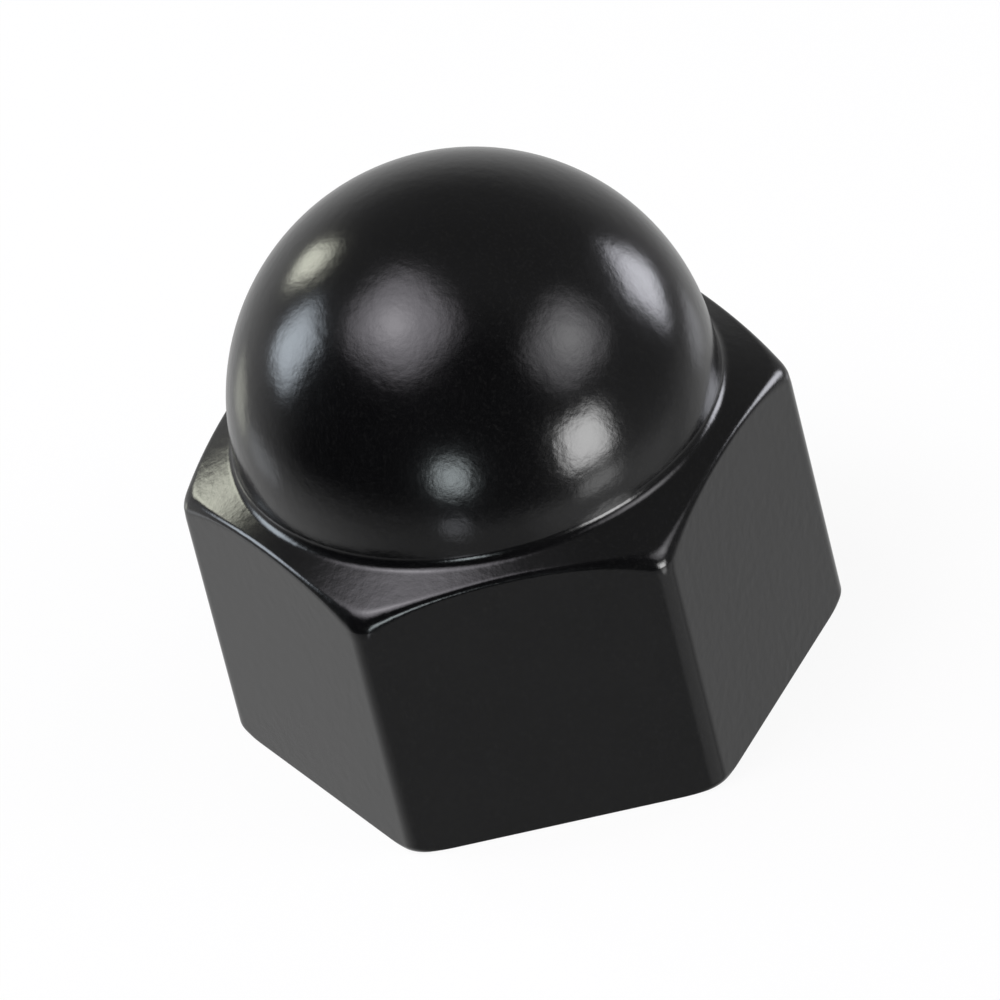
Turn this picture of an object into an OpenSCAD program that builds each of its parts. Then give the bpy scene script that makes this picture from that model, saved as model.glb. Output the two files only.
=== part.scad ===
// Domed cap nut with a closed, threaded hole, standing on its bearing face.
// The origin is the centre of the bearing face, and +Z runs up the axis to the top of the dome.

/* [Hexagon] */
// Width across the flats, along X
across_flats = 19; // [16:0.5:24]
// Height of each flat at its middle, where the shoulder meets it
flat_height = 11; // [9:0.1:13]
// Radius that blunts the six upright corners
corner_r = 0.4; // [0.1:0.05:1.5]

/* [Shoulder] */
// Slope of the conical shoulder, down from level
shoulder_angle = 30; // [15:1:40]
// Radius of the fillet where the shoulder turns up into the dome
neck_r = 0.7; // [0.3:0.05:1.5]

/* [Base] */
// How far outside the flats the chamfer round the bearing face starts
base_margin = 1.1; // [0:0.05:1.3]
// Slope of that chamfer, up from the bearing face
base_angle = 30; // [15:1:45]

/* [Dome] */
// Width of the shoulder between the dome's wall and the middle of a flat
shoulder_land = 0.8; // [0.5:0.05:1.5]
// Height of the dome's centre above the tops of the flats
dome_rise = 1; // [0.5:0.1:4]
// Metal left between the tip of the hole and the top of the dome
crown_wall = 2.7; // [1.5:0.1:5]

/* [Threaded hole] */
// Nominal diameter of the thread
thread_d = 12; // [8:0.5:13]
// Pitch of the thread
thread_pitch = 1.75; // [1:0.25:2]
// Length of the relief groove at the thread's inner end
relief_width = 2.5; // [1:0.1:4]
// How far the relief groove is cut outside the thread
relief_gap = 0.25; // [0.1:0.05:0.6]
// How far the countersink at the mouth opens outside the thread
sink_gap = 0.45; // [0.1:0.05:1]
// Included angle of the countersink and of the relief groove's ends
sink_angle = 120; // [90:5:130]
// Included angle of the drill's tip
drill_angle = 118; // [90:1:140]

/* [Hidden] */
$fn = 144;

// An arc is drawn this much larger than its radius, so that it meets its walls in clean edges
join = 0.0005;
// How far a blank or a cutter runs past the form that it trims
over = 1;
// Share of a sharp thread's height that a nut's thread is cut to
thread_share = 5 / 8;

// Hexagon, with its corners on the Y axis
hexagon_sides = 6;
corner_angle = 180 / hexagon_sides;
flat_r = across_flats / 2;
corner_tip = flat_r / cos(corner_angle);
corner_centre = (flat_r - corner_r) / cos(corner_angle);
corner_chord = corner_centre + corner_r * cos(corner_angle);

// Shoulder cone, neck fillet and dome
function shoulder_z(r) = flat_height - (r - flat_r) * tan(shoulder_angle);
dome_r = flat_r - shoulder_land;
dome_z = flat_height + dome_rise;
top_z = dome_z + dome_r;
neck_x = dome_r + neck_r;
neck_z = shoulder_z(neck_x) + neck_r / cos(shoulder_angle);
ring_r = neck_x - neck_r * sin(shoulder_angle);

// Turned blank, wider than the hexagon's corners
blank_r = corner_tip + over;
base_r = flat_r + base_margin;
base_rise = (blank_r - base_r) * tan(base_angle);

// Threaded hole: its wall stands at the thread's minor radius
thread_r = thread_d / 2;
bore_r = thread_r - thread_share * thread_pitch * cos(30);
sink_r = thread_r + sink_gap;
sink_depth = (sink_r - bore_r) / tan(sink_angle / 2);
tip_z = top_z - crown_wall;
drill_z = tip_z - bore_r / tan(drill_angle / 2);
relief_r = thread_r + relief_gap;
relief_ramp = min((relief_r - bore_r) / tan(sink_angle / 2), relief_width / 2);
relief_z = drill_z - relief_width;

// Section of the hexagonal bar, its corners rounded
module bar_section() {
    difference() {
        rotate(corner_angle) circle(corner_tip, $fn = hexagon_sides);
        for (i = [0 : hexagon_sides - 1])
            rotate((2 * i + 1) * corner_angle) corner_waste();
    }
}

// What rounding takes off the corner that lies on the X axis
module corner_waste() {
    difference() {
        translate([corner_chord, -corner_r]) square([corner_r, 2 * corner_r]);
        translate([corner_centre, 0]) circle(corner_r + join);
    }
}

// Half section of the turned blank: base chamfer, shoulder, neck fillet and dome
module blank_section() {
    difference() {
        polygon([
            [0, 0],
            [base_r, 0],
            [blank_r, base_rise],
            [blank_r, shoulder_z(blank_r)],
            [ring_r, shoulder_z(ring_r)],
            [neck_x, neck_z],
            [dome_r, neck_z],
            [dome_r, dome_z],
            [0, dome_z]
        ]);
        translate([neck_x, neck_z]) circle(neck_r + join);
    }
    translate([0, dome_z]) intersection() {
        circle(dome_r);
        square(dome_r + over);
    }
}

// Half section of the closed hole: countersink, thread wall, relief groove and drill tip
module hole_section() {
    polygon([
        [0, -over],
        [sink_r + over * tan(sink_angle / 2), -over],
        [bore_r, sink_depth],
        [bore_r, relief_z],
        [relief_r, relief_z + relief_ramp],
        [relief_r, drill_z - relief_ramp],
        [bore_r, drill_z],
        [0, tip_z]
    ]);
}

module cap_nut() {
    color("#1b1c1e") difference() {
        intersection() {
            linear_extrude(top_z + over) bar_section();
            rotate_extrude() blank_section();
        }
        rotate_extrude() hole_section();
    }
}

cap_nut();
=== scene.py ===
import math

import bmesh
import bpy
from mathutils import Matrix, Vector


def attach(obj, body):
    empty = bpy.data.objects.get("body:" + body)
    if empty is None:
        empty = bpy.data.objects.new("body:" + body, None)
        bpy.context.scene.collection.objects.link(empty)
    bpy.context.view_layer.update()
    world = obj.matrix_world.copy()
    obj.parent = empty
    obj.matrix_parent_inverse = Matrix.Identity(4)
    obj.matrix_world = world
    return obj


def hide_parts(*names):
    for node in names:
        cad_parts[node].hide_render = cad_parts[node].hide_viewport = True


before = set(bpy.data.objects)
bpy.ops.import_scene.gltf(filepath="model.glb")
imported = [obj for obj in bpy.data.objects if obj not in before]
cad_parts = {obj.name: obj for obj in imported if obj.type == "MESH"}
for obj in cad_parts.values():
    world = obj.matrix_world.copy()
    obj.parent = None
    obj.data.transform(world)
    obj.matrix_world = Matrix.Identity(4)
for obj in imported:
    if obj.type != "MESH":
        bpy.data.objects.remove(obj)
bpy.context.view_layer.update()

mm = 0.001                      # everything in the scene is in metres
mergeGap = 0.0005 * mm          # points nearer than this become one
cutGap = mergeGap / 10


def takeUp(shape):              # the next operators work on this shape alone
    bpy.ops.object.select_all(action="DESELECT")
    bpy.context.view_layer.objects.active = shape
    shape.select_set(True)


def pickEdges(wanted):          # in edit mode, selects the wanted edges and no others
    mesh = bpy.context.edit_object.data
    bpy.ops.mesh.select_mode(type="EDGE")
    bpy.ops.mesh.select_all(action="DESELECT")
    cage = bmesh.from_edit_mesh(mesh)
    for edge in cage.edges:
        edge.select_set(wanted(edge))
    bmesh.update_edit_mesh(mesh)


def middle(edge):
    return (edge.verts[0].co + edge.verts[1].co) / 2


# Draws a half section in the XZ plane from its first point, by straight strokes
# (x, z) and by arcs (centre x, centre z, degrees clockwise, steps).
def drawSection(name, start, strokes):
    bpy.ops.object.select_all(action="DESELECT")
    bpy.ops.mesh.primitive_plane_add(size=mm)
    section = bpy.context.object
    section.name = name
    bpy.ops.object.mode_set(mode="EDIT")
    bpy.ops.mesh.select_mode(type="VERT")
    bpy.ops.mesh.select_all(action="SELECT")
    bpy.ops.mesh.merge(type="CENTER")
    bpy.ops.mesh.select_all(action="SELECT")
    x, z = start
    bpy.ops.transform.translate(value=(x, 0, z))
    for stroke in strokes:
        if len(stroke) == 2:
            toX, toZ = stroke
            bpy.ops.mesh.extrude_region_move(
                TRANSFORM_OT_translate={"value": (toX - x, 0, toZ - z)})
        else:
            centreX, centreZ, degrees, steps = stroke
            angle = math.radians(degrees)
            bpy.ops.mesh.spin(
                steps=steps, angle=-angle, center=(centreX, 0, centreZ), axis=(0, 1, 0))
            outX, outZ = x - centreX, z - centreZ
            toX = centreX + outX * math.cos(angle) + outZ * math.sin(angle)
            toZ = centreZ - outX * math.sin(angle) + outZ * math.cos(angle)
        x, z = toX, toZ
    bpy.ops.object.mode_set(mode="OBJECT")
    return section


def closeUp():                  # in edit mode, joins what touches and turns the faces outwards
    bpy.ops.mesh.select_all(action="SELECT")
    bpy.ops.mesh.remove_doubles(threshold=mergeGap)
    bpy.ops.mesh.normals_make_consistent(inside=False)


def turnRound(section, steps):  # turns a half section on the Z axis into a closed shape
    takeUp(section)
    bpy.ops.object.mode_set(mode="EDIT")
    bpy.ops.mesh.select_all(action="SELECT")
    bpy.ops.mesh.spin(steps=steps, angle=math.tau, center=(0, 0, 0), axis=(0, 0, 1))
    closeUp()
    bpy.ops.object.mode_set(mode="OBJECT")


def modify(shape, kind, settings):
    takeUp(shape)
    bpy.ops.object.modifier_add(type=kind)
    modifier = shape.modifiers[-1]
    for name, value in settings.items():
        setattr(modifier, name, value)
    bpy.ops.object.modifier_apply(modifier=modifier.name)


def cutAway(shape, tool):
    modify(shape, "BOOLEAN", {"operation": "DIFFERENCE", "solver": "EXACT", "object": tool})
    bpy.data.objects.remove(tool, do_unlink=True)


nut = {
    "sides": 6,
    "acrossFlats": 19.1 * mm,
    "flatHeight": 11 * mm,      # of each flat, at its middle
    "cornerRadius": 0.87 * mm,  # of the six upright corners
    "shoulderSlope": math.radians(24.8),
    "shoulderLand": 0.85 * mm,  # from the dome's wall to the middle of a flat
    "neckRadius": 0.5 * mm,
    "neckSteps": 10,
    "domeRise": 1 * mm,         # of the dome's centre above the tops of the flats
    "domeSteps": 48,
    "baseMargin": 1.28 * mm,    # how far outside the flats the chamfer under the base starts
    "baseSlope": math.radians(30),
    "spare": 0.8 * mm,          # how far the turned blank runs past the corners
    "tipDepth": 1.45 * mm,      # from the top of a flat down to a row of points below all roundings
    "roundSteps": 360,
    "slopeCuts": 60,            # rows of points across the shoulder
    "baseCuts": 24,             # and across the chamfer under the base
    "crowding": 0.78,           # how strongly the columns of points draw together at the corners
    "edgeBlend": 0.3 * mm,      # rounding of the shoulder's edge, at the middle of a flat
    "cornerBlend": 1.05 * mm,   # and at a corner
    "baseBlend": 0.5 * mm,      # rounding where the chamfer meets the flats
    "baseEdge": 0.06 * mm,      # and where it meets the bearing face
    "sharpFrom": math.radians(30),
}
cornerTurn = math.pi / nut["sides"]     # from the middle of a flat to a corner


def shoulderHeight(radius):
    fall = (radius - nut["acrossFlats"] / 2) * math.tan(nut["shoulderSlope"])
    return nut["flatHeight"] - fall


def makeBlank():                # the turned form: base chamfer, shoulder, neck and dome
    flat = nut["acrossFlats"] / 2
    base = flat + nut["baseMargin"]
    dome = flat - nut["shoulderLand"]
    domeHeight = nut["flatHeight"] + nut["domeRise"]
    neck = dome + nut["neckRadius"]
    neckHeight = shoulderHeight(neck) + nut["neckRadius"] / math.cos(nut["shoulderSlope"])
    neckTurn = math.degrees(nut["shoulderSlope"]) - 90
    rim = flat / math.cos(cornerTurn) + nut["spare"]
    baseRise = (rim - base) * math.tan(nut["baseSlope"])
    blank = drawSection("capNut", (0, domeHeight + dome), [
        (0, domeHeight, 90, nut["domeSteps"]),
        (dome, neckHeight),
        (neck, neckHeight, neckTurn, nut["neckSteps"]),
        (rim, shoulderHeight(rim)),
        (rim, nut["flatHeight"] - nut["tipDepth"]),
        (rim, baseRise),
        (base, 0),
        (0, 0),
    ])
    takeUp(blank)
    bpy.ops.object.mode_set(mode="EDIT")
    low = nut["flatHeight"] / 2
    high = shoulderHeight(neck)
    pickEdges(lambda edge: low < middle(edge).z < high and edge.calc_length() > nut["spare"])
    bpy.ops.mesh.subdivide(number_cuts=nut["slopeCuts"])
    pickEdges(lambda edge: 0 < middle(edge).z < baseRise)
    bpy.ops.mesh.subdivide(number_cuts=nut["baseCuts"])
    bpy.ops.object.mode_set(mode="OBJECT")
    turnRound(blank, nut["roundSteps"])
    return blank


def wallDistance(fromCorner):   # from the axis to the hexagon, its corners rounded
    flat = nut["acrossFlats"] / 2
    radius = nut["cornerRadius"]
    centre = (flat - radius) / math.cos(cornerTurn)
    touch = math.atan2(radius * math.sin(cornerTurn), centre + radius * math.cos(cornerTurn))
    if fromCorner > touch:
        return flat / math.cos(cornerTurn - fromCorner)
    aside = centre * math.sin(fromCorner)
    return centre * math.cos(fromCorner) + math.sqrt(radius ** 2 - aside ** 2)


def underShoulder(radius, height, wall, blend):     # brings a point of the shoulder in to the wall
    centre = shoulderHeight(wall - blend) - blend / math.cos(nut["shoulderSlope"])
    rise = height - centre
    if 0 < rise < blend * math.cos(nut["shoulderSlope"]):
        return wall - blend + math.sqrt(blend ** 2 - rise ** 2)
    return min(radius, wall)


def aboveBase(radius, height, wall):    # brings a point of the base's chamfer in to the wall
    blend = nut["baseBlend"]
    edge = nut["baseEdge"]
    depth = min(max(edge - height, 0), edge)
    softer = min(radius, wall) - max(blend - abs(radius - wall), 0) ** 2 / (4 * blend)
    return softer - edge + math.sqrt(edge ** 2 - depth ** 2)


# Presses the six flats into the turned blank, with every edge rounded. The columns of
# points draw together towards the corners, two of which lie on the Y axis.
def pressFlats(blank):
    takeUp(blank)
    bpy.ops.object.mode_set(mode="EDIT")
    cage = bmesh.from_edit_mesh(blank.data)
    sides = nut["sides"]
    flat = wallDistance(cornerTurn)
    corner = wallDistance(0)
    for point in cage.verts:
        radius = math.hypot(point.co.x, point.co.y)
        if radius < mergeGap:
            continue
        turn = math.atan2(point.co.y, point.co.x)
        turn += nut["crowding"] / sides * math.sin(sides * turn)
        wall = wallDistance(abs(turn % (2 * cornerTurn) - cornerTurn))
        nearness = (wall - flat) / (corner - flat)
        blend = nut["edgeBlend"] + (nut["cornerBlend"] - nut["edgeBlend"]) * nearness ** 2
        if point.co.z > nut["flatHeight"] / 2:
            pressed = underShoulder(radius, point.co.z, wall, blend)
        else:
            pressed = aboveBase(radius, point.co.z, wall)
        point.co.x = pressed * math.cos(turn)
        point.co.y = pressed * math.sin(turn)
    bmesh.update_edit_mesh(blank.data)
    closeUp()
    bpy.ops.object.mode_set(mode="OBJECT")


hole = {
    "threadDiameter": 12 * mm,
    "pitch": 1.75 * mm,
    "flankAngle": math.radians(30),
    "threadShare": 5 / 8,       # of a sharp thread's height
    "crestShare": 1 / 8,        # of the pitch, flat at the bottom of the thread's groove
    "sinkGap": 0.45 * mm,       # how far the countersink opens outside the thread
    "sinkSlope": math.radians(30),
    "wall": 2.7 * mm,           # metal between the drill's tip and the top of the dome
    "reliefWidth": 2.5 * mm,    # groove at the thread's inner end
    "reliefGap": 0.25 * mm,
    "drillSlope": math.radians(31),
    "roundSteps": 144,
    "threadSteps": 96,
    "leadTurns": 2,             # turns of the thread tool that start below the mouth
    "rootGap": 0.05 * mm,       # how far inside the bore the thread tool's root stays
    "spare": 1 * mm,
}


def holeSizes():                # radius of the thread, radius of the bore, height of the drill's tip
    thread = hole["threadDiameter"] / 2
    bore = thread - hole["threadShare"] * hole["pitch"] * math.cos(hole["flankAngle"])
    top = nut["flatHeight"] + nut["domeRise"] + nut["acrossFlats"] / 2 - nut["shoulderLand"]
    return thread, bore, top - hole["wall"]


def makeHole():                 # the tool that cuts the plain hole
    thread, bore, tip = holeSizes()
    sink = thread + hole["sinkGap"]
    relief = thread + hole["reliefGap"]
    ramp = (relief - bore) * math.tan(hole["sinkSlope"])
    drill = tip - bore * math.tan(hole["drillSlope"])
    spare = hole["spare"]
    tool = drawSection("holeTool", (0, -spare), [
        (sink + spare / math.tan(hole["sinkSlope"]), -spare),
        (bore, (sink - bore) * math.tan(hole["sinkSlope"])),
        (bore, drill - hole["reliefWidth"]),
        (relief, drill - hole["reliefWidth"] + ramp),
        (relief, drill - ramp),
        (bore, drill),
        (0, tip),
    ])
    turnRound(tool, hole["roundSteps"])
    return tool


def makeTap():                  # the right-handed thread, as a rod cut off level at both ends
    thread, bore, tip = holeSizes()
    pitch = hole["pitch"]
    root = bore - hole["rootGap"]
    flank = (thread - root) * math.tan(hole["flankAngle"])
    crest = pitch * hole["crestShare"]
    low = -hole["leadTurns"] * pitch
    high = tip - root * math.tan(hole["drillSlope"]) - hole["reliefWidth"] / 2
    tap = drawSection("tap", (root, low), [
        (root, low + pitch - crest - 2 * flank),
        (thread, low + pitch - crest - flank),
        (thread, low + pitch - flank),
        (root, low + pitch),
    ])
    modify(tap, "SCREW", {
        "axis": "Z", "angle": math.tau, "screw_offset": pitch,
        "iterations": math.ceil((high - low) / pitch) + 1,
        "steps": hole["threadSteps"], "render_steps": hole["threadSteps"],
        "use_merge_vertices": True, "merge_threshold": mergeGap})
    takeUp(tap)
    bpy.ops.object.mode_set(mode="EDIT")
    for height, keepUp in ((-hole["spare"] / 2, True), (high, False)):
        bpy.ops.mesh.select_all(action="SELECT")
        bpy.ops.mesh.bisect(
            plane_co=(0, 0, height), plane_no=(0, 0, 1), use_fill=True,
            clear_inner=keepUp, clear_outer=not keepUp, threshold=cutGap)
    closeUp()
    bpy.ops.object.mode_set(mode="OBJECT")
    return tap


class Signal:                   # a shader's socket that can stand in an expression
    def __init__(self, tree, socket=None):
        self.tree = tree
        self.socket = socket

    def node(self, kind, settings, values, output=0):
        made = self.tree.nodes.new(kind)
        for name, setting in settings.items():
            setattr(made, name, setting)
        for name, value in values.items():
            if isinstance(value, Signal):
                self.tree.links.new(value.socket, made.inputs[name])
            else:
                made.inputs[name].default_value = value
        return Signal(self.tree, made.outputs[output]) if made.outputs else None

    def also(self, output):     # another output of the same node
        return Signal(self.tree, self.socket.node.outputs[output])

    def maths(self, operation, first, second):
        return self.node("ShaderNodeMath", {"operation": operation}, {0: first, 1: second})

    def ramp(self, value, low, high):   # 0 at low, 1 at high, also where low is the larger
        return self.node("ShaderNodeMapRange", {"interpolation_type": "SMOOTHSTEP"}, {
            "Value": value, "From Min": low, "From Max": high, "To Min": 0, "To Max": 1})

    def __add__(self, other):
        return self.maths("ADD", self, other)

    def __radd__(self, other):
        return self.maths("ADD", other, self)

    def __sub__(self, other):
        return self.maths("SUBTRACT", self, other)

    def __rsub__(self, other):
        return self.maths("SUBTRACT", other, self)

    def __mul__(self, other):
        return self.maths("MULTIPLY", self, other)

    def __rmul__(self, other):
        return self.maths("MULTIPLY", other, self)

    def __pow__(self, other):
        return self.maths("POWER", self, other)

    def __abs__(self):
        return self.maths("ABSOLUTE", self, 0)


def startMaterial(name):
    material = bpy.data.materials.new(name)
    material.use_nodes = True
    material.node_tree.nodes.clear()
    return material, Signal(material.node_tree)


coating = {
    "dark": (0.0023, 0.0023, 0.0025, 1),
    "pale": (0.0045, 0.0045, 0.0048, 1),
    "speck": (0.0078, 0.0078, 0.0078, 1),
    "speckSpan": (0.5, 0.75),   # of the grain
    "smooth": 0.13,             # roughness, from the smoothest patches
    "rough": 0.21,              # to the roughest
    "ior": 1.5,
    "patch": {"scale": 380, "detail": 3, "roughness": 0.55},    # per metre, so about 2.5 mm apart
    "peel": {"scale": 2500, "detail": 1, "roughness": 0.4},
    "grain": {"scale": 8500, "detail": 2, "roughness": 0.6},
    "ring": {"scale": 1, "detail": 1, "roughness": 0.5},
    "noiseMean": 0.5,
    "peelHeight": 0.0065 * mm,
    "grainHeight": 0.003 * mm,
    "ringHeight": 0.0013 * mm,  # marks of turning, on the shoulder and under the base
    "ringAcross": 5500,         # how closely they lie, about 0.2 mm apart
    "ringAlong": 220,           # and how often they change on their way round
    "ringLevel": (0.6, 0.85),   # they come in as the faces turn level
    "ringRadius": (8.8 * mm, 9.1 * mm),
    "baseLevel": (0.9, 0.99),
    "baseHeight": (0.2 * mm, 0.05 * mm),
    "threadRough": 0.12,        # added inside the hole
    "threadRadius": (6.6 * mm, 6.4 * mm),
    "threadTop": (17.5 * mm, 17.2 * mm),
    "wornRough": 0.11,          # the upright corners are rubbed smooth
    "wornRadius": (10.7 * mm, 10.8 * mm),
    "wornTop": (10.2 * mm, 9.6 * mm),
}


def noise(start, place, facts):
    return start.node("ShaderNodeTexNoise", {}, {
        "Vector": place, "Scale": facts["scale"],
        "Detail": facts["detail"], "Roughness": facts["roughness"]})


# Black coating: soft patches in its tone and gloss, a slight peel and a fine grain, with
# the marks of turning still showing through on the shoulder and on the bearing face.
def makeCoating():
    material, start = startMaterial("blackCoating")
    place = start.node("ShaderNodeTexCoord", {}, {}, "Object")
    patch = noise(start, place, coating["patch"])
    peel = noise(start, place, coating["peel"])
    grain = noise(start, place, coating["grain"])

    x = start.node("ShaderNodeSeparateXYZ", {}, {"Vector": place}, "X")
    y = x.also("Y")
    z = x.also("Z")
    radius = (x * x + y * y) ** 0.5
    ringPlace = start.node("ShaderNodeCombineXYZ", {}, {
        "X": x * coating["ringAlong"], "Y": y * coating["ringAlong"],
        "Z": radius * coating["ringAcross"]})
    ring = noise(start, ringPlace, coating["ring"])
    facing = start.node("ShaderNodeNewGeometry", {}, {}, "True Normal")
    level = abs(start.node("ShaderNodeSeparateXYZ", {}, {"Vector": facing}, "Z"))
    turned = start.ramp(level, *coating["ringLevel"]) * start.ramp(radius, *coating["ringRadius"])
    base = start.ramp(level, *coating["baseLevel"]) * start.ramp(z, *coating["baseHeight"])
    marked = start.maths("MAXIMUM", turned, base)
    inside = start.ramp(radius, *coating["threadRadius"]) * start.ramp(z, *coating["threadTop"])
    worn = start.ramp(radius, *coating["wornRadius"]) * start.ramp(z, *coating["wornTop"])

    tone = start.node("ShaderNodeMix", {"data_type": "RGBA"}, {
        "Factor": patch, "A": coating["dark"], "B": coating["pale"]}, "Result")
    speck = start.ramp(grain, *coating["speckSpan"])
    tone = start.node("ShaderNodeMix", {"data_type": "RGBA"}, {
        "Factor": speck, "A": tone, "B": coating["speck"]}, "Result")
    rough = coating["smooth"] + (coating["rough"] - coating["smooth"]) * patch
    rough = rough + coating["threadRough"] * inside
    rough = rough + (coating["wornRough"] - rough) * worn
    peelBump = start.node("ShaderNodeBump", {}, {
        "Strength": 1, "Distance": coating["peelHeight"],
        "Height": (peel - coating["noiseMean"]) * (1 - worn)})
    ringBump = start.node("ShaderNodeBump", {}, {
        "Strength": 1, "Distance": coating["ringHeight"],
        "Height": ring * marked, "Normal": peelBump})
    grainBump = start.node("ShaderNodeBump", {}, {
        "Strength": 1, "Distance": coating["grainHeight"],
        "Height": (grain - coating["noiseMean"]) * (1 - worn), "Normal": ringBump})
    surface = start.node("ShaderNodeBsdfPrincipled", {}, {
        "Base Color": tone, "Roughness": rough, "Normal": grainBump, "IOR": coating["ior"]})
    start.node("ShaderNodeOutputMaterial", {}, {"Surface": surface})
    return material


print("turning the blank")
capNut = makeBlank()
print("pressing the flats")
pressFlats(capNut)
print("cutting the hole")
cutAway(capNut, makeHole())
print("cutting the thread")
cutAway(capNut, makeTap())
print("smoothing and coating the nut")
takeUp(capNut)
bpy.ops.object.shade_smooth_by_angle(angle=nut["sharpFrom"], keep_sharp_edges=True)
modify(capNut, "WEIGHTED_NORMAL", {"keep_sharp": True})
capNut.data.materials.clear()
capNut.data.materials.append(makeCoating())
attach(capNut, "root")
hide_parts("cap_nut")
print("nut:", len(capNut.data.vertices), "points,", len(capNut.data.polygons), "faces")


shot = {
    "azimuth": math.radians(33.08),     # from straight in front, round to the right
    "elevation": math.radians(36.32),
    "roll": math.radians(-14.33),
    "pivotHeight": 11.27 * mm,
    "distance": 638.4 * mm,
    "aimRight": 0.751 * mm,     # how far beside the pivot the camera looks
    "aimUp": -3.1 * mm,
    "lens": 656.5,
    "sensor": 36,
    "nearest": 0.01,
    "farthest": 10,
}


def makeCamera():
    turn = shot["azimuth"]
    tilt = shot["elevation"]
    roll = shot["roll"]
    back = Vector((
        math.sin(turn) * math.cos(tilt), -math.cos(turn) * math.cos(tilt), math.sin(tilt)))
    level = Vector((math.cos(turn), math.sin(turn), 0))
    upright = back.cross(level)
    right = level * math.cos(roll) + upright * math.sin(roll)
    up = upright * math.cos(roll) - level * math.sin(roll)
    pivot = Vector((0, 0, shot["pivotHeight"]))
    place = pivot + back * shot["distance"]
    aim = pivot + right * shot["aimRight"] + up * shot["aimUp"]
    away = (place - aim).normalized()
    side = up.cross(away).normalized()
    facing = Matrix((side, away.cross(side), away)).transposed()
    bpy.ops.object.camera_add(location=place, rotation=facing.to_euler())
    camera = bpy.context.object
    camera.data.lens = shot["lens"]
    camera.data.sensor_width = shot["sensor"]
    camera.data.clip_start = shot["nearest"]
    camera.data.clip_end = shot["farthest"]
    bpy.context.scene.camera = camera


studio = {
    "centre": Vector((0, 0, 12 * mm)),
    "distance": 350 * mm,       # of the lamps from the centre
    "floorSize": 4,
    "floorShine": 1.04,         # the floor is nearly white where the camera sees it
    "floorShare": 0.88,         # and the rest of it is paint, which takes the nut's shadow
    "floorPaint": (0.8, 0.8, 0.8, 1),
}

# Each lamp as the dome mirrors it: its direction, size and lean are in degrees, fade is how
# much of it dims towards its border, and squareness goes from 2, round, to a full box.
lamps = {
    "rearLeft": {
        "azimuth": 159, "elevation": 21.5, "width": 18, "height": 28, "lean": -12,
        "brightness": 7.0, "tint": (1.0, 1.02, 0.86), "fade": 0.75, "squareness": 3},
    "left": {
        "azimuth": -170.5, "elevation": 20, "width": 29, "height": 35, "lean": 0,
        "brightness": 7.0, "tint": (0.9, 1.0, 1.1), "fade": 0.7, "squareness": 4},
    "overheadBox": {
        "azimuth": -125, "elevation": 64.5, "width": 60, "height": 53, "lean": 0,
        "brightness": 3.8, "tint": (0.98, 0.94, 1.02), "fade": 0.7, "squareness": 3},
    "overheadCore": {
        "azimuth": -128, "elevation": 63, "width": 28, "height": 24, "lean": 0,
        "brightness": 3.9, "tint": (0.99, 0.96, 1.0), "fade": 1.0, "squareness": 2},
    "front": {
        "azimuth": -75.5, "elevation": 0.5, "width": 22, "height": 23, "lean": 0,
        "brightness": 7.6, "tint": (0.92, 1.02, 1.05), "fade": 0.85, "squareness": 3},
    "rearRight": {
        "azimuth": 58, "elevation": 6, "width": 30, "height": 31, "lean": 14,
        "brightness": 7.6, "tint": (0.97, 0.98, 1.06), "fade": 0.7, "squareness": 4},
    "umbrella": {
        "azimuth": 5, "elevation": 33, "width": 52, "height": 40, "lean": 0,
        "brightness": 2.0, "tint": (0.99, 0.97, 1.02), "fade": 0.6, "squareness": 3},
    "umbrellaCore": {
        "azimuth": 7, "elevation": 33, "width": 30, "height": 26, "lean": 0,
        "brightness": 2.3, "tint": (1.0, 1.0, 1.0), "fade": 1.0, "squareness": 2},
    "right": {
        "azimuth": -14.5, "elevation": -4, "width": 31, "height": 29, "lean": 0,
        "brightness": 11.4, "tint": (1.0, 1.0, 1.0), "fade": 0.6, "squareness": 4},
    "rightGleam": {
        "azimuth": -12.5, "elevation": -24.5, "width": 27, "height": 11, "lean": 0,
        "brightness": 2.6, "tint": (1.0, 1.0, 1.0), "fade": 0.7, "squareness": 3},
    "frontGleam": {
        "azimuth": -79, "elevation": -24, "width": 15, "height": 13, "lean": 0,
        "brightness": 1.4, "tint": (0.95, 0.98, 1.06), "fade": 0.7, "squareness": 3},
    "rearRightGleam": {
        "azimuth": 70, "elevation": -22, "width": 24, "height": 14, "lean": 0,
        "brightness": 0.7, "tint": (0.97, 0.98, 1.06), "fade": 0.6, "squareness": 3},
    "rearLeftGleam": {
        "azimuth": 166, "elevation": -18, "width": 18, "height": 16, "lean": 0,
        "brightness": 0.9, "tint": (1.0, 1.02, 0.86), "fade": 0.6, "squareness": 3},
    "leftGleam": {
        "azimuth": -174, "elevation": -21, "width": 26, "height": 12, "lean": 0,
        "brightness": 0.6, "tint": (0.95, 1.0, 1.06), "fade": 0.6, "squareness": 3},
}


def spread(degrees):            # width that takes up this angle, seen from the centre
    return 2 * studio["distance"] * math.tan(math.radians(degrees / 2))


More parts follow.
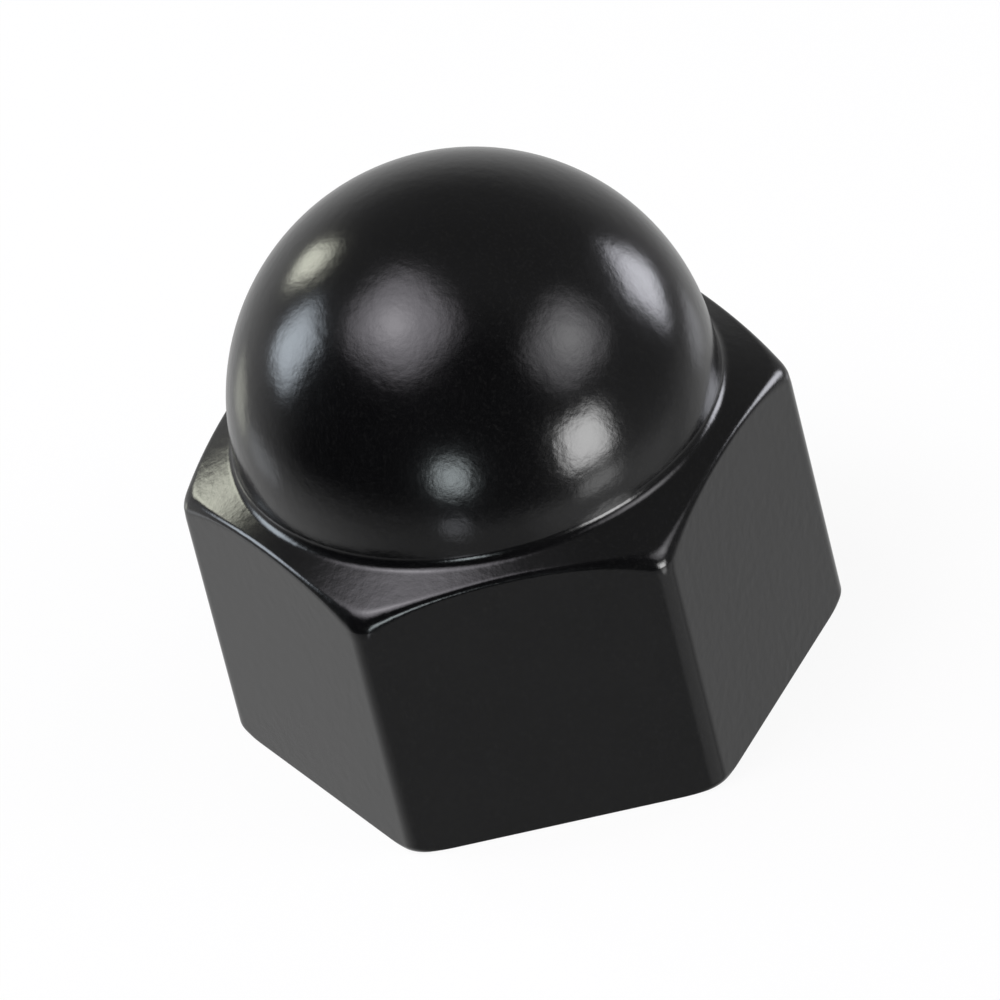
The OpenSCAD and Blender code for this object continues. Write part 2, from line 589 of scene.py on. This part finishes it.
def makeLamp(name, facts):
    azimuth = math.radians(facts["azimuth"])
    elevation = math.radians(facts["elevation"])
    lean = math.radians(facts["lean"])
    towards = Vector((
        math.cos(azimuth) * math.cos(elevation), math.sin(azimuth) * math.cos(elevation),
        math.sin(elevation)))
    side = Vector((-math.sin(azimuth), math.cos(azimuth), 0))
    rise = towards.cross(side)
    along = side * math.cos(lean) + rise * math.sin(lean)
    facing = Matrix((along, towards.cross(along), towards)).transposed()
    bpy.ops.object.light_add(
        type="AREA", location=studio["centre"] + towards * studio["distance"],
        rotation=facing.to_euler())
    lamp = bpy.context.object
    lamp.name = name
    lamp.visible_camera = False
    light = lamp.data
    light.shape = "RECTANGLE"
    light.size = spread(facts["width"])
    light.size_y = spread(facts["height"])
    light.energy = facts["brightness"] * math.pi * light.size * light.size_y
    light.color = facts["tint"]
    light.use_nodes = True
    light.node_tree.nodes.clear()
    start = Signal(light.node_tree)
    spot = start.node("ShaderNodeNewGeometry", {}, {}, "Parametric")
    across = start.node("ShaderNodeSeparateXYZ", {}, {"Vector": spot}, "X")
    sideways = abs(across * 2 - 1)
    upwards = abs(across.also("Y") * 2 - 1)
    squareness = facts["squareness"]
    reach = (sideways ** squareness + upwards ** squareness) ** (1 / squareness)
    glow = start.ramp(reach, 1, 1 - facts["fade"])
    shine = start.node("ShaderNodeEmission", {}, {"Strength": glow})
    start.node("ShaderNodeOutputLight", {}, {"Surface": shine})


def makeFloor():
    bpy.ops.object.select_all(action="DESELECT")
    bpy.ops.mesh.primitive_plane_add(size=studio["floorSize"])
    floor = bpy.context.object
    floor.name = "floor"
    floor.visible_glossy = False
    floor.visible_shadow = False        # some lamps stand lower than the floor
    material, start = startMaterial("paleFloor")
    seen = start.node("ShaderNodeLightPath", {}, {}, "Is Camera Ray")
    white = start.node("ShaderNodeEmission", {}, {"Strength": studio["floorShine"]})
    paint = start.node("ShaderNodeBsdfDiffuse", {}, {"Color": studio["floorPaint"]})
    top = start.node("ShaderNodeMixShader", {}, {0: seen * studio["floorShare"], 1: paint, 2: white})
    beneath = start.node("ShaderNodeNewGeometry", {}, {}, "Backfacing")
    clear = start.node("ShaderNodeBsdfTransparent", {}, {})
    surface = start.node("ShaderNodeMixShader", {}, {0: beneath, 1: top, 2: clear})
    start.node("ShaderNodeOutputMaterial", {}, {"Surface": surface})
    floor.data.materials.append(material)


# Tones of the room as the dome and the flats mirror them. A span says how far a direction
# has to turn that way, as a cosine, and heights are the Z of a direction.
surround = {
    "roomTone": 0.16,
    "roomAzimuth": math.radians(100),
    "roomSpan": (-0.5, 0.1),
    "wallTone": 0.4,            # a paler wall behind
    "wallAzimuth": math.radians(138),
    "wallSpan": (0.2, 1.0),
    "wallHeights": (0.55, -0.1),
    "floorTone": 0.3,
    "floorGain": 0.34,          # the floor is paler behind and at the right
    "behindSpan": (-0.5, 0.45),
    "besideShare": 0.8,
    "besideAzimuth": math.radians(-5),
    "besideSpan": (0.57, 0.75),
    "besideHeights": (-0.28, -0.48),
    "horizon": -0.12,
    "floorFull": -0.52,
    "frontDip": 0.22,           # the horizon is lower in front
    "frontAzimuth": math.radians(-48),
    "frontSpan": (0.65, 0.95),
}


def makeSurround():
    world = bpy.data.worlds.new("studio")
    bpy.context.scene.world = world
    world.use_nodes = True
    world.node_tree.nodes.clear()
    start = Signal(world.node_tree)
    way = start.node("ShaderNodeTexCoord", {}, {}, "Generated")
    height = start.node("ShaderNodeSeparateXYZ", {}, {"Vector": way}, "Z")

    def turnedTo(azimuth, span):        # 1 in the directions near this azimuth
        level = (math.cos(azimuth), math.sin(azimuth), 0)
        cosine = start.node(
            "ShaderNodeVectorMath", {"operation": "DOT_PRODUCT"}, {0: way, 1: level}, "Value")
        return start.ramp(cosine, *span)

    room = surround["roomTone"] * turnedTo(surround["roomAzimuth"], surround["roomSpan"])
    wall = surround["wallTone"] * turnedTo(surround["wallAzimuth"], surround["wallSpan"])
    wall = wall * start.ramp(height, *surround["wallHeights"])
    behind = turnedTo(surround["wallAzimuth"], surround["behindSpan"])
    beside = surround["besideShare"] * turnedTo(surround["besideAzimuth"], surround["besideSpan"])
    beside = beside * start.ramp(height, *surround["besideHeights"])
    paler = start.maths("MAXIMUM", behind, beside)
    floor = surround["floorTone"] + surround["floorGain"] * paler
    dip = surround["frontDip"] * turnedTo(surround["frontAzimuth"], surround["frontSpan"])
    below = start.ramp(height, surround["horizon"] - dip, surround["floorFull"])
    tone = (room + wall) + (floor - room - wall) * below
    seen = start.node("ShaderNodeLightPath", {}, {}, "Is Camera Ray")
    white = start.maths("MAXIMUM", seen, seen.also("Is Transmission Ray"))
    strength = white + (1 - white) * tone
    glow = start.node("ShaderNodeBackground", {}, {"Color": (1, 1, 1, 1), "Strength": strength})
    start.node("ShaderNodeOutputWorld", {}, {"Surface": glow})


print("setting up the studio")
makeCamera()
for name, facts in lamps.items():
    makeLamp(name, facts)
makeFloor()
makeSurround()
bpy.context.scene.view_settings.view_transform = "Standard"
